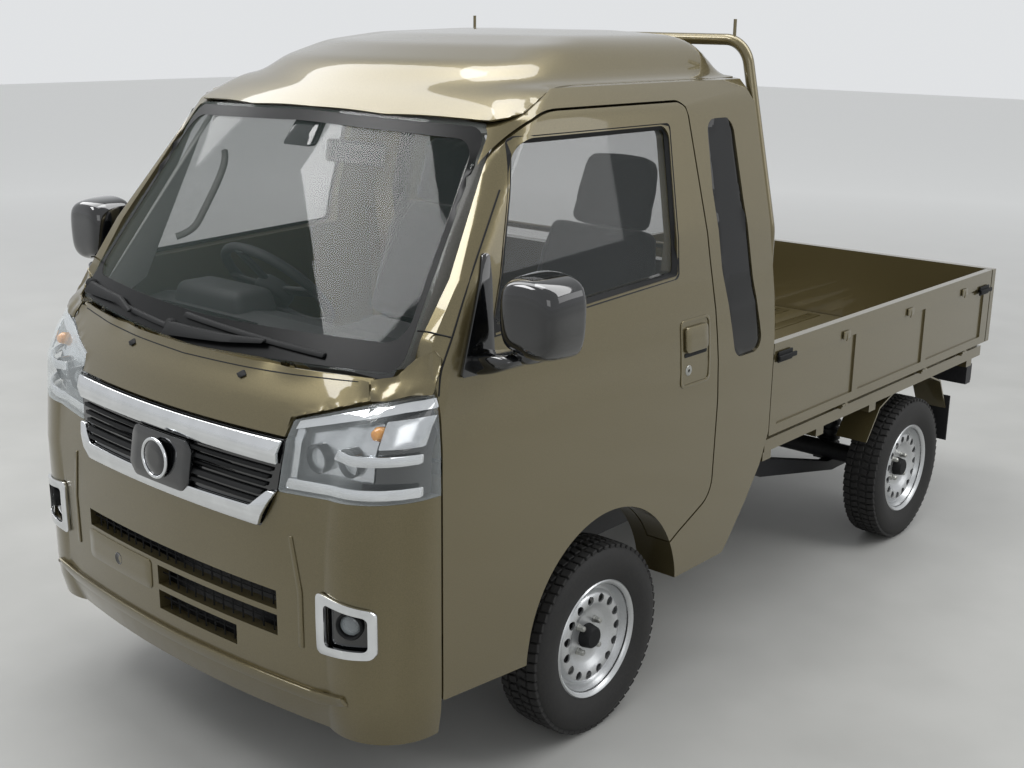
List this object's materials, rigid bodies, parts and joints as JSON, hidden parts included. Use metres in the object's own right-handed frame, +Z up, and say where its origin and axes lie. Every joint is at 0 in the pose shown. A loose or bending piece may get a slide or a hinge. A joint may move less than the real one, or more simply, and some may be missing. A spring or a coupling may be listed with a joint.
{
  "type": "kei truck",
  "caption": "Small cab-over flatbed truck with a lengthened high-roof cab, hinged doors and hood, drop-side bed with a tailgate, steered front wheels and a cab guard frame.",
  "frame": {"origin": "middle of the truck's overall box, on the ground", "axes": "+X is the truck's left, -Y its front, +Z up"},
  "size_m": [1.8944, 3.3947, 1.8849],
  "materials": {
    "body_paint": "metallic gloss",
    "glass": "clear, lightly tinted",
    "gloss_black": "gloss",
    "grille_trim": "black louvres with bright bars",
    "lamp_clear": "clear lens over bright reflectors",
    "lamp_red": "gloss",
    "black_plastic": "satin",
    "interior_dark": "grained",
    "seat_cloth": "woven",
    "cab_inner_paint": "satin",
    "chassis_black": "satin",
    "cast_metal": "as cast",
    "exhaust_steel": "dull",
    "flap_rubber": "matte",
    "tyre_rubber": "matte",
    "wheel_silver": "silver, satin"
  },
  "bodies": {
    "truck": {"side_frame_left": "body_paint", "side_frame_right": "body_paint", "roof": "body_paint", "cab_back": "body_paint", "cab_windows": "glass", "front_bumper": "body_paint", "front_grille": "grille_trim", "headlamps": "lamp_clear", "fog_lamps": "lamp_clear", "wipers": "black_plastic", "cab_floor": "cab_inner_paint", "cowl": "cab_inner_paint", "dashboard": "interior_dark", "seats": "seat_cloth", "chassis_frame": "chassis_black", "engine": "cast_metal", "fuel_tank": "chassis_black", "exhaust": "exhaust_steel", "rear_axle": "chassis_black", "rear_suspension": "chassis_black", "front_suspension": "chassis_black", "bed_floor": "body_paint", "bed_frame": "body_paint", "guard_frame": "body_paint", "rear_arches": "body_paint", "mudflaps": "flap_rubber", "rear_bar": "chassis_black", "tail_lamps": "lamp_red"},
    "door_left": {"door_left": "body_paint", "door_glass_left": "glass", "mirror_left": "gloss_black"},
    "door_right": {"door_right": "body_paint", "door_glass_right": "glass", "mirror_right": "gloss_black"},
    "hood": {"hood": "body_paint"},
    "gate_left": {"gate_left": "body_paint"},
    "gate_right": {"gate_right": "body_paint"},
    "tailgate": {"tailgate": "body_paint"},
    "steering_wheel": {"steering_wheel": "black_plastic"},
    "knuckle_left": {"knuckle_left": "chassis_black"},
    "knuckle_right": {"knuckle_right": "chassis_black"},
    "wheel_front_left": {"tyre_front_left": "tyre_rubber", "rim_front_left": "wheel_silver"},
    "wheel_front_right": {"tyre_front_right": "tyre_rubber", "rim_front_right": "wheel_silver"},
    "wheel_rear_left": {"tyre_rear_left": "tyre_rubber", "rim_rear_left": "wheel_silver"},
    "wheel_rear_right": {"tyre_rear_right": "tyre_rubber", "rim_rear_right": "wheel_silver"}
  },
  "joints": [
    {"name": "door_left_hinge", "type": "hinge", "parent": "truck", "child": "door_left", "pos_m": [0.731, -1.4005, 0.7], "axis": [0, 0, -1], "range_deg": [0, 65]},
    {"name": "door_right_hinge", "type": "hinge", "parent": "truck", "child": "door_right", "pos_m": [-0.731, -1.4005, 0.7], "axis": [0, 0, 1], "range_deg": [0, 65]},
    {"name": "hood_hinge", "type": "hinge", "parent": "truck", "child": "hood", "pos_m": [0, -1.5425, 1.112], "axis": [-1, 0, 0], "range_deg": [0, 45]},
    {"name": "gate_left_hinge", "type": "hinge", "parent": "truck", "child": "gate_left", "pos_m": [0.733, 0.8, 0.65], "axis": [0, 1, 0], "range_deg": [0, 180]},
    {"name": "gate_right_hinge", "type": "hinge", "parent": "truck", "child": "gate_right", "pos_m": [-0.733, 0.8, 0.65], "axis": [0, -1, 0], "range_deg": [0, 180]},
    {"name": "tailgate_hinge", "type": "hinge", "parent": "truck", "child": "tailgate", "pos_m": [0, 1.6755, 0.65], "axis": [-1, 0, 0], "range_deg": [0, 180]},
    {"name": "steer_left", "type": "hinge", "parent": "truck", "child": "knuckle_left", "pos_m": [0.6, -0.8425, 0.17], "axis": [-0.1339, 0, 0.991], "range_deg": [-33, 33]},
    {"name": "steer_right", "type": "hinge", "parent": "truck", "child": "knuckle_right", "pos_m": [-0.6, -0.8425, 0.17], "axis": [0.1339, 0, 0.991], "range_deg": [-33, 33]},
    {"name": "wheel_front_left_spin", "type": "hinge", "parent": "knuckle_left", "child": "wheel_front_left", "pos_m": [0.6525, -0.8425, 0.2685], "axis": [1, 0, 0], "continuous": true},
    {"name": "wheel_front_right_spin", "type": "hinge", "parent": "knuckle_right", "child": "wheel_front_right", "pos_m": [-0.6525, -0.8425, 0.2685], "axis": [1, 0, 0], "continuous": true},
    {"name": "wheel_rear_left_spin", "type": "hinge", "parent": "truck", "child": "wheel_rear_left", "pos_m": [0.65, 1.0575, 0.2685], "axis": [1, 0, 0], "continuous": true},
    {"name": "wheel_rear_right_spin", "type": "hinge", "parent": "truck", "child": "wheel_rear_right", "pos_m": [-0.65, 1.0575, 0.2685], "axis": [1, 0, 0], "continuous": true},
    {"name": "steering_wheel_turn", "type": "hinge", "parent": "truck", "child": "steering_wheel", "pos_m": [-0.335, -1.0475, 1.121], "axis": [0, 0.7193, 0.6947], "range_deg": [-495, 495]}
  ],
  "couplings": [
    {"joint": "steer_right", "follows": "steer_left", "ratio": 1},
    {"joint": "steering_wheel_turn", "follows": "steer_left", "ratio": 15}
  ]
}
